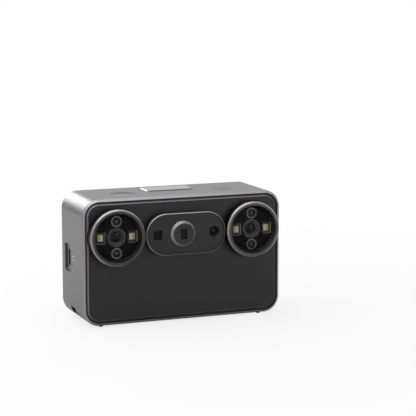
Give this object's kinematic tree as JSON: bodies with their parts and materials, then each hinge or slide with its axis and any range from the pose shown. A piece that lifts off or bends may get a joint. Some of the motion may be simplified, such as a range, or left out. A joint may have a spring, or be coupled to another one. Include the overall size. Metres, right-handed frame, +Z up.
{
  "type": "pocket three-d scanner",
  "caption": "Pocket three-d scanner shaped like a compact camera, with ringed stereo cameras beside a raised projector panel, rear display, scan button, power slider and hinged battery door.",
  "frame": {"origin": "on the resting plane under the feet, below the middle of the bounding box", "axes": "+X to the right when the lenses are faced, the lenses look along -Y, +Z up"},
  "size_m": [0.1, 0.04, 0.0613],
  "materials": {
    "frame_metal": "bead-blasted grey anodising",
    "cover_dark": "fine matt charcoal",
    "seal_black": "matt black",
    "bezel_metal": "dark anodised with a bright chamfer",
    "panel_dark": "matt charcoal with a bright border",
    "button_metal": "satin grey",
    "slider_metal": "satin grey",
    "window_glass": "clear polished",
    "display_black": "black-backed polished",
    "display_core": "smooth",
    "optic_black": "matt black",
    "lens_glass": "coated, polished",
    "emitter_dome": "smooth dark",
    "lamp": "phosphor yellow",
    "brass_insert": "machined",
    "steel": "machined",
    "port_black": "matt black",
    "circuit_board": "solder mask",
    "bracket_metal": "as machined",
    "battery_wrap": "shrink wrap",
    "foot_rubber": "matt"
  },
  "bodies": {
    "case": {"middle_frame": "frame_metal", "switch_plate": "frame_metal", "antenna_window": "frame_metal", "front_cover": "cover_dark", "rear_cover": "cover_dark", "front_seal": "seal_black", "rear_seal": "seal_black", "left_camera_bezel": "bezel_metal", "right_camera_bezel": "bezel_metal", "optics_panel": "panel_dark", "projector_housing": "panel_dark", "left_camera_glass": "window_glass", "right_camera_glass": "window_glass", "display_glass": "display_black", "display_panel": "display_core", "left_camera_carrier": "optic_black", "right_camera_carrier": "optic_black", "left_lens_barrel": "optic_black", "right_lens_barrel": "optic_black", "colour_barrel": "optic_black", "depth_sensor": "optic_black", "left_camera_lens": "lens_glass", "right_camera_lens": "lens_glass", "colour_lens": "lens_glass", "projector_window": "lens_glass", "left_ir_emitters": "emitter_dome", "right_ir_emitters": "emitter_dome", "left_fill_lights": "lamp", "right_fill_lights": "lamp", "lock_insert": "brass_insert", "tripod_insert": "brass_insert", "battery_contacts": "brass_insert", "port_shell": "steel", "lanyard_bar": "steel", "hinge_pin": "steel", "cover_screws": "steel", "bracket_screws": "steel", "board_screws": "steel", "port_tongue": "port_black", "vent_screen": "port_black", "slide_switch": "port_black", "button_switch": "port_black", "speaker": "port_black", "battery_tray": "port_black", "main_board": "circuit_board", "left_camera_board": "circuit_board", "right_camera_board": "circuit_board", "button_board": "circuit_board", "optics_bracket": "bracket_metal", "heat_sink": "bracket_metal", "projector_module": "bracket_metal", "battery_pack": "battery_wrap", "feet": "foot_rubber"},
    "scan_button": {"scan_button": "button_metal"},
    "power_slider": {"power_slider": "slider_metal"},
    "battery_door": {"battery_door": "frame_metal"},
    "door_latch": {"door_latch": "slider_metal"}
  },
  "joints": [
    {"name": "scan_button_press", "type": "slide", "parent": "case", "child": "scan_button", "axis": [0, 0, -1], "range_m": [0, 0.0005], "stiffness_N_per_m": 1500},
    {"name": "power_switch", "type": "slide", "parent": "case", "child": "power_slider", "axis": [0, 0, -1], "range_m": [0, 0.0017]},
    {"name": "battery_door_hinge", "type": "hinge", "parent": "case", "child": "battery_door", "pos_m": [0.0484, -0.0009, 0.0121], "axis": [0, 1, 0], "range_deg": [0, 90]},
    {"name": "latch_slide", "type": "slide", "parent": "battery_door", "child": "door_latch", "axis": [0, 0, 1], "range_m": [0, 0.0015]}
  ]
}
